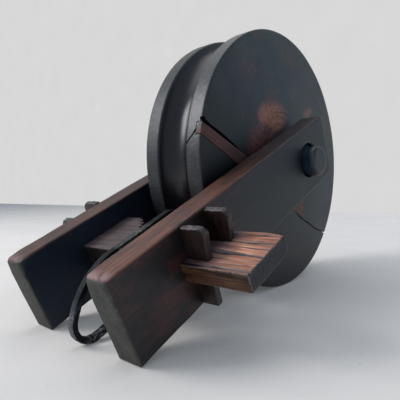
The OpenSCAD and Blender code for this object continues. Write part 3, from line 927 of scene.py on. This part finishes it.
def tie_finish():
    """Brown wood, orange on its weathered ends, grey-pink on top between the boards."""
    material, spot = start_finish("tie beam wood", board_place)
    s, y, t = spot.parts()
    grain = spot.clouds(1.5, 4.0, 0.65, (1, 40, 1), 0.15)
    fine = spot.clouds(0.6, 2.0, 0.6, (1, 40, 1))
    blotch = spot.clouds(14, 3.0, 0.6, (1, 1.8, 1))
    outside = abs(y).past(-3, 1, board_outer)
    furrow = spot.node("ShaderNodeAttribute", {}, {"attribute_name": "furrow"}, "Fac")
    ridges = (grain * 0.5 + fine * 0.5).rise(0.3, 0.7)
    crest = ridges.pick((0.105, 0.026, 0.014), (0.56, 0.225, 0.130))
    # The crests are paler and brighter in a patch at the middle of each end's top
    pale_crest = ridges.pick((0.28, 0.085, 0.048), (0.88, 0.42, 0.27))
    pale_middle = abs(y).hump(board_outer + 46 * MM, 32 * MM) * s.hump(108 * MM, 20 * MM)
    crest = pale_middle.pick(crest, pale_crest)
    # Painted shade with dirt: the crests are darker and bluer towards the tail, round the tail peg
    crest = (s.past(92, 80) * 0.55).pick(crest, crest * (0.42, 0.42, 0.46))
    sunk = ridges.pick((0.0045, 0.0045, 0.0085), (0.040, 0.022, 0.022))
    faded_and_shaded = ridges.pick((0.045, 0.026, 0.028), (0.20, 0.120, 0.125))
    # Painted shade with dirt: near the boards, round the pegs, the crests are dulled in patches
    near_wall = abs(y).past(48, 14, board_outer)
    crest = (near_wall * blotch.rise(0.34, 0.52)).pick(crest, faded_and_shaded)
    end_top = furrow.shades(0.20, 0.56, crest, sunk)
    end_side = (grain * 0.6 + blotch * 0.4).shades(
        0.38, 0.66, (0.012, 0.004, 0.002), (0.150, 0.060, 0.028))
    upper = t.past(-5.2, -4, tenon_top) * s.past(0.2, 1.5, tenon_from)
    ends = upper.pick(end_side, end_top)
    middle_top = (grain * 0.6 + fine * 0.4).shades(
        0.33, 0.67, (0.022, 0.013, 0.013), (0.125, 0.083, 0.082))
    # Painted shade: the beam's sides between the boards are a much darker copy of the sides of its ends
    middle_side = (grain * 0.6 + blotch * 0.4).shades(
        0.35, 0.7, (0.0012, 0.0006, 0.0006), (0.010, 0.004, 0.003))
    middle = t.past(-2.2, -0.8, beam_top).pick(middle_side, middle_top)
    colour = outside.pick(middle, ends)
    cut_end = abs(y).past(-1.8, -0.7, tenon_end)
    pores = spot.clouds(1.1, 3.0, 0.7, (1, 1, 1))
    end_wood = (pores * 0.5 + blotch * 0.5).shades(
        0.38, 0.68, (0.0010, 0.0020, 0.0026), (0.0110, 0.0150, 0.0170))
    colour = cut_end.pick(colour, end_wood)
    end_low, end_high = (tenon_from, -tenon_end, tenon_low), (beam_to, tenon_end, tenon_top)
    at_corner = s.past(-14, -5, beam_to) * abs(y).past(-12, -4, tenon_end)
    worn = arris(spot, end_low, end_high, 1.8 * MM) * outside
    worn = worn * spot.clouds(4, 2.0).rise(0.36, 0.56).most(at_corner)
    colour = (worn * (at_corner * 0.65 + 0.25)).pick(colour, (0.50, 0.45, 0.40))
    roughness = 0.42 + grain * 0.2 - outside * upper * 0.06
    end_finish(colour, roughness, grain * 0.5 + fine * 0.5 + pores * cut_end * 0.4, 0.4 * MM)
    return material


shoulder = board_inner - 0.1 * MM
end_overlap = 6 * MM
beam = worn_block("tie_beam_wood", (beam_from, -shoulder, beam_low), (beam_to, shoulder, beam_top),
                  steps=(2.4, 4, 4), edge=3, radius=lambda p: 1.0 * MM, relief=beam_relief,
                  place=board_place)
beam.data.materials.append(tie_finish())
ends = []
for side in (-1, 1):
    reach = sorted((side * (board_inner - end_overlap), side * tenon_end))
    ends.append(worn_block("end", (tenon_from, reach[0], tenon_low), (beam_to, reach[1], tenon_top),
                           steps=(0.62, 2.2, 2.5), edge=3, radius=beam_radius, relief=end_relief,
                           place=board_place))
carve(beam, ends, "UNION")
# Each peg's slot in the beam is its own outline and a little play
peg_thick = 7 * MM
peg_middles = (89.5 * MM, 125.5 * MM)
peg_top_w, peg_tip_w = 28.5 * MM, 18.5 * MM
peg_tip = 1 * MM
peg_tops = {"near_tail": 82.6 * MM, "near_wheel": 82.6 * MM,
            "far_tail": 82.6 * MM, "far_wheel": 87.1 * MM}
peg_slope = (peg_top_w - peg_tip_w) / (peg_tops["near_tail"] - peg_tip)
slot_play = 0.3 * MM


def peg_width(t):
    """Width of a peg at a height across the boards."""
    return peg_tip_w + peg_slope * (t - peg_tip)


slot_place = board_place @ Matrix(((0, 0, 1, 0), (1, 0, 0, 0), (0, 1, 0, 0), (0, 0, 0, 1)))
slot_half = peg_thick / 2 + slot_play
slots = []
for side in (-1, 1):
    for middle in peg_middles:
        low_y = side * (board_outer - slot_play)
        outline = [(low_y, peg_tip), (side * (board_outer + peg_width(peg_tip) + slot_play), peg_tip),
                   (side * (board_outer + peg_top_w + slot_play), peg_tops["near_tail"]),
                   (low_y, peg_tops["near_tail"])]
        slots.append(prism("slot", outline, middle - slot_half, middle + slot_half, slot_place))
torn_depth = 8 * MM
torn_line = [(118, -60), (118, 11.5), (119.8, 13.5), (121.4, 10.5), (123, 11), (124.7, 17.5),
             (126, 18.5), (127.2, 14.5), (129, 15), (130.3, 24.5), (132, 25), (133.4, 21.5),
             (135, 22), (136.2, 31), (138, 32), (139, 29), (145, 29), (145, -60)]
torn = prism("torn", [(s * MM, y * MM) for s, y in torn_line], beam_top - torn_depth,
             beam_top + cut_over, board_place)
carve(beam, slots + [torn])
to_board = board_place.inverted()
furrow = beam.data.attributes.new("furrow", "FLOAT", "POINT")
for vertex, record in zip(beam.data.vertices, furrow.data):
    place = to_board @ vertex.co
    record.value = min(1.0, max(0.0, furrow_depth(place.x, place.y) / (1.9 * MM)))
shade(beam.data, 50)
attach(beam, "side_frame")
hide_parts("tie_beam")

# The four pegs: flat tapered slips of dark wood, driven down through the beam's ends.
# Mallet blows have bruised and paled their tops.


def peg_box(side, middle, top):
    """The lower and upper corners of a peg's block, before its taper."""
    reach = sorted((side * board_outer, side * (board_outer + peg_top_w)))
    return ((middle - peg_thick / 2, reach[0], peg_tip), (middle + peg_thick / 2, reach[1], top))


def peg_finish(name, side, middle, top, bruise_colours):
    """Dark wood with long grain, paler on its outer edge and where the top is bruised."""
    material, spot = start_finish(name, board_place)
    _, y, t = spot.parts()
    grain = spot.clouds(1.4, 3.0, 0.65, (1, 1, 18), 0.4)
    blotch = spot.clouds(9, 3.0, 0.6, (1, 1, 2))
    wood = (grain * 0.55 + blotch * 0.45).shades(
        0.36, 0.68, (0.0018, 0.0006, 0.0008), (0.034, 0.012, 0.0085))
    outer = (abs(y) - board_outer - peg_tip_w - (t - peg_tip) * peg_slope).past(-1.6, -0.5)
    wood = (outer * 0.6).pick(wood, (0.050, 0.036, 0.034))
    chips = spot.clouds(4, 3.0, 0.7)
    bruised = (t + (chips - 0.5) * 5 * MM).past(-2.6, -0.8, top)
    colour = (bruised * 0.9).pick(wood, chips.shades(0.3, 0.65, *bruise_colours))
    worn = arris(spot, *peg_box(side, middle, top), 1.6 * MM) * chips.rise(0.4, 0.6)
    colour = (worn * 0.4).pick(colour, (0.13, 0.105, 0.10))
    end_finish(colour, 0.38 + grain * 0.2, grain * 0.6 + chips * 0.5, 0.4 * MM)
    return material


pale_bruise = (0.010, 0.007, 0.008), (0.115, 0.087, 0.094)
olive_bruise = (0.010, 0.010, 0.008), (0.055, 0.053, 0.044)
corner_run = 5.5 * MM
corner_drop = 6.5 * MM
bruise_run = 9 * MM
bruise_depth = 1.1 * MM
bend_from = tenon_top + 3 * MM
peg_lean = 0.05
for side_name, side, bruise_colours in (("near", -1, pale_bruise), ("far", 1, olive_bruise)):
    for place_name, middle in zip(("tail", "wheel"), peg_middles):
        top = peg_tops[f"{side_name}_{place_name}"]

        def peg_radius(point, top=top):
            worn = max(0, 1 - (top - point.z) / bruise_run)
            return (0.7 + 0.9 * worn * (1 + lumps(point, 5))) * MM

        def peg_relief(point, outward, top=top):
            cut = lumps(point, 11, (1, 1, 2.5)) * 0.12 * MM
            bruise = 0.6 + lumps(point, 4) + 0.5 * lumps(point, 2)
            return cut - bruise * bruise_depth * max(0, outward.z) * (point.z > top - 5 * MM)

        def peg_warp(point, side=side, top=top):
            out = abs(point.y) - board_outer
            at_corner = max(0, 1 - (peg_top_w - out) / corner_run)
            at_corner *= max(0, 1 - (top - point.z) / (12 * MM))
            out *= peg_width(point.z) / peg_top_w
            aside = max(0, point.z - bend_from) * peg_lean
            return Vector((point.x + aside, side * (board_outer + out),
                           point.z - at_corner * corner_drop))

        name = f"{side_name}_{place_name}_peg"
        peg = worn_block(name + "_wood", *peg_box(side, middle, top), steps=(1.2, 2, 2.5), edge=2.2,
                         radius=peg_radius, relief=peg_relief, place=board_place, warp=peg_warp)
        peg.data.materials.append(peg_finish(name + " wood", side, middle, top, bruise_colours))
        shade(peg.data)
        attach(peg, f"peg_{side_name}_{place_name}")
        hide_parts(name)

# The ring: an oval link on edge, forged from iron bar and hung loose round the beam, its nose on
# the ground. Its hammered bar is dark with scale, bright where rubbed, with painted highlights where
# lit.
ring_bar_w = 7.5 * MM
ring_bar_t = 6.5 * MM
nose_r = 22.5 * MM
brow_r = 79 * MM
heel_r = 14 * MM
heel_play = 13 * MM
ring_height = 71.4 * MM
ring_reach = 79.2 * MM
ring_lean = math.radians(4.5)
ring_aside = 10.8 * MM
ring_gap = 0.3 * MM
ring_top = beam_top + ring_gap + math.sin(ring_lean) * ring_bar_w / 2 + ring_bar_t
ring_middle = (beam_from + beam_to) / 2
nose_s = beam_from - ring_reach + nose_r
nose_t = ring_top - ring_height + nose_r
brow_t = ring_top - brow_r
brow_s = nose_s + math.sqrt((brow_r - nose_r) ** 2 - (nose_t - brow_t) ** 2)
brow_angle = math.degrees(math.atan2(nose_t - brow_t, nose_s - brow_s))
heel_s = beam_to + heel_play + ring_bar_t - heel_r
ring_place = (board_place @ Matrix.Translation((ring_middle, -ring_aside, ring_top))
              @ Matrix.Rotation(ring_lean, 4, "X") @ Matrix.Translation((-ring_middle, 0, -ring_top)))


def bend(s, t, radius, start, end, step):
    """Points along the middle of the bar, round a bend given by the ring's outer side."""
    middle = radius - ring_bar_t / 2
    count = max(2, math.ceil(abs(math.radians(end - start)) * middle / step))
    angles = [math.radians(start + (end - start) * i / count) for i in range(count + 1)]
    return [(s + middle * math.cos(a), t + middle * math.sin(a)) for a in angles]


# The bar's section is a round drawn out to a square, and this power says how square
squareness = 9.0


def ring_tree():
    """Sweeps a bar's section along a closed path and hammers its surface."""
    tree, asked = open_tree("forged bar", {
        "Path": "Geometry", "Bar width": "Float", "Bar thickness": "Float", "Step": "Float",
        "Hammering": "Float", "Hammer mark": "Float", "Finish": "Material"}, "Forged")
    path = asked["Path"].node("GeometryNodeResampleCurve", {
        "Curve": asked["Path"], "Length": asked["Step"]}, {"mode": "LENGTH"})
    round_bar = path.node("GeometryNodeCurvePrimitiveCircle", {"Resolution": 24, "Radius": 1.0})
    on_round = round_bar.node("GeometryNodeInputPosition")
    bar_x, bar_y, _ = on_round.parts()
    squared = (abs(bar_x) ** squareness + abs(bar_y) ** squareness) ** (-1 / squareness)
    section = path.node("GeometryNodeSetPosition", {
        "Geometry": round_bar, "Position": on_round * squared})
    scale = path.node("ShaderNodeCombineXYZ", {
        0: asked["Bar thickness"] * 0.5, 1: asked["Bar width"] * 0.5, 2: 1.0})
    section = path.node("GeometryNodeTransform", {"Geometry": section, "Scale": scale})
    bar = path.node("GeometryNodeCurveToMesh", {"Curve": path, "Profile Curve": section})
    close_tree(bar, asked["Hammering"], asked["Hammer mark"], asked["Finish"])
    return tree


def ring_finish():
    """Dark forged iron: blue-black scale, dull rust in pits, rub marks and painted highlights."""
    material, spot = start_finish("ring iron", ring_place)
    s, _, t = spot.parts()
    scale = spot.clouds(6, 4.0, 0.65)
    pits = spot.clouds(1.6, 3.0, 0.7)
    from_nose = ((s - nose_s) * (s - nose_s) + (t - nose_t) * (t - nose_t)) ** 0.5
    from_brow = ((s - brow_s) * (s - brow_s) + (t - brow_t) * (t - brow_t)) ** 0.5
    # Painted highlights: the outer side of the lower arc is a pale blue-grey, and the bar is paler where
    # it lies over the beam, as if lit
    outer = (from_nose - nose_r).most(from_brow - brow_r).past(-1.3, -0.5) * t.past(50, 30)
    on_floor = t.past(14, 6, nose_t - nose_r)
    on_beam = s.past(-8, 0, beam_from) * s.past(-20, -34, beam_to)
    # Pale speckles fall on those lit places, as painted highlights, and on the nose where it rubs the
    # floor, as wear
    lit_and_rubbed = outer.most(on_floor).most(on_beam * t.rise(nose_t, beam_top))
    rubbed = (pits * 0.6 + scale * 0.4).rise(0.50, 0.62) * (lit_and_rubbed * 0.97 + 0.03)
    iron = scale.shades(0.35, 0.65, (0.002, 0.0025, 0.0035), (0.008, 0.009, 0.012))
    iron = (on_beam * t.rise(nose_t, beam_top) * 0.7).pick(iron, (0.055, 0.060, 0.055))
    iron = (outer * 0.6).pick(iron, (0.125, 0.140, 0.165))
    iron = pits.shades(0.42, 0.3, iron, (0.012, 0.009, 0.008))
    colour = (rubbed * 0.65).pick(iron, (0.30, 0.31, 0.305))
    end_finish(colour, 0.5 - rubbed * 0.14 + pits * 0.12, scale * 0.6 + pits * 0.5, 0.8 * MM,
               {"Metallic": 0.75})
    return material


ring_step = 1.5 * MM
ring_line = (bend(nose_s, nose_t, nose_r, 270, brow_angle, 2 * ring_step)[:-1]
             + bend(brow_s, brow_t, brow_r, brow_angle, 90, 2 * ring_step)
             + bend(heel_s, ring_top - heel_r, heel_r, 90, 0, ring_step)
             + bend(heel_s, nose_t - nose_r + heel_r, heel_r, 0, -90, ring_step))
ring = grow("ring_iron", line_object("ring path", ring_line, True), ring_tree(), {
    "Bar width": ring_bar_w, "Bar thickness": ring_bar_t, "Step": ring_step,
    "Hammering": 1.1 * MM, "Hammer mark": 7 * MM, "Finish": ring_finish()})
ring.data.transform(ring_place @ Matrix.Rotation(math.pi / 2, 4, "X"))
face_out(ring.data)
shade(ring.data, 34)
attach(ring, "ring")
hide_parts("hanging_ring")
